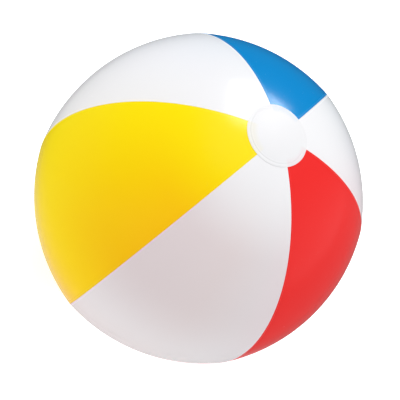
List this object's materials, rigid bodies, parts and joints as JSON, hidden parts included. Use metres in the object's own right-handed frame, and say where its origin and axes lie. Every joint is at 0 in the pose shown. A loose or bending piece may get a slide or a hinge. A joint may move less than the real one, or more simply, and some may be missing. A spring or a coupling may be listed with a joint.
{
  "type": "inflatable beach ball",
  "caption": "Blown-up vinyl beach ball with coloured and white gores, a round cap over each pole and a push-in valve with a plug.",
  "frame": {"origin": "centre of the ball, halfway between the poles", "axes": "+Z from the pole it rests on to the upper pole, -Y through the middle of the yellow gore, +Y through the middle of the white gore that holds the valve and out of the valve's mouth, +X through the seam between the red gore and that white gore"},
  "size_m": [0.3246, 0.3221, 0.3267],
  "materials": {
    "yellow_vinyl": "gloss",
    "red_vinyl": "gloss",
    "blue_vinyl": "gloss",
    "white_vinyl": "gloss",
    "cap_vinyl": "gloss",
    "valve_vinyl": "satin"
  },
  "bodies": {
    "ball": {"panel_yellow": "yellow_vinyl", "panel_white_front": "white_vinyl", "panel_red": "red_vinyl", "panel_white_back": "white_vinyl", "panel_blue": "blue_vinyl", "panel_white_left": "white_vinyl", "end_cap_top": "cap_vinyl", "end_cap_bottom": "cap_vinyl", "valve_flange": "valve_vinyl", "valve_diaphragm": "valve_vinyl"},
    "stem": {"valve_stem": "valve_vinyl"},
    "plug": {"valve_plug": "valve_vinyl", "plug_strap": "valve_vinyl"},
    "flap": {"valve_flap": "valve_vinyl"}
  },
  "joints": [
    {"name": "valve_pull", "type": "slide", "parent": "ball", "child": "stem", "axis": [0, 1, 0], "range_m": [0, 0.0184], "deforming": ["valve_diaphragm"]},
    {"name": "plug_swing", "type": "hinge", "parent": "stem", "child": "plug", "pos_m": [0, 0.15945, 0.0102], "axis": [1, 0, 0], "range_deg": [0, 130], "deforming": ["plug_strap"]},
    {"name": "flap_swing", "type": "hinge", "parent": "stem", "child": "flap", "pos_m": [0, 0.13985, 0.0052], "axis": [-1, 0, 0], "range_deg": [0, 70], "stiffness_Nm_per_rad": 0.0002}
  ]
}
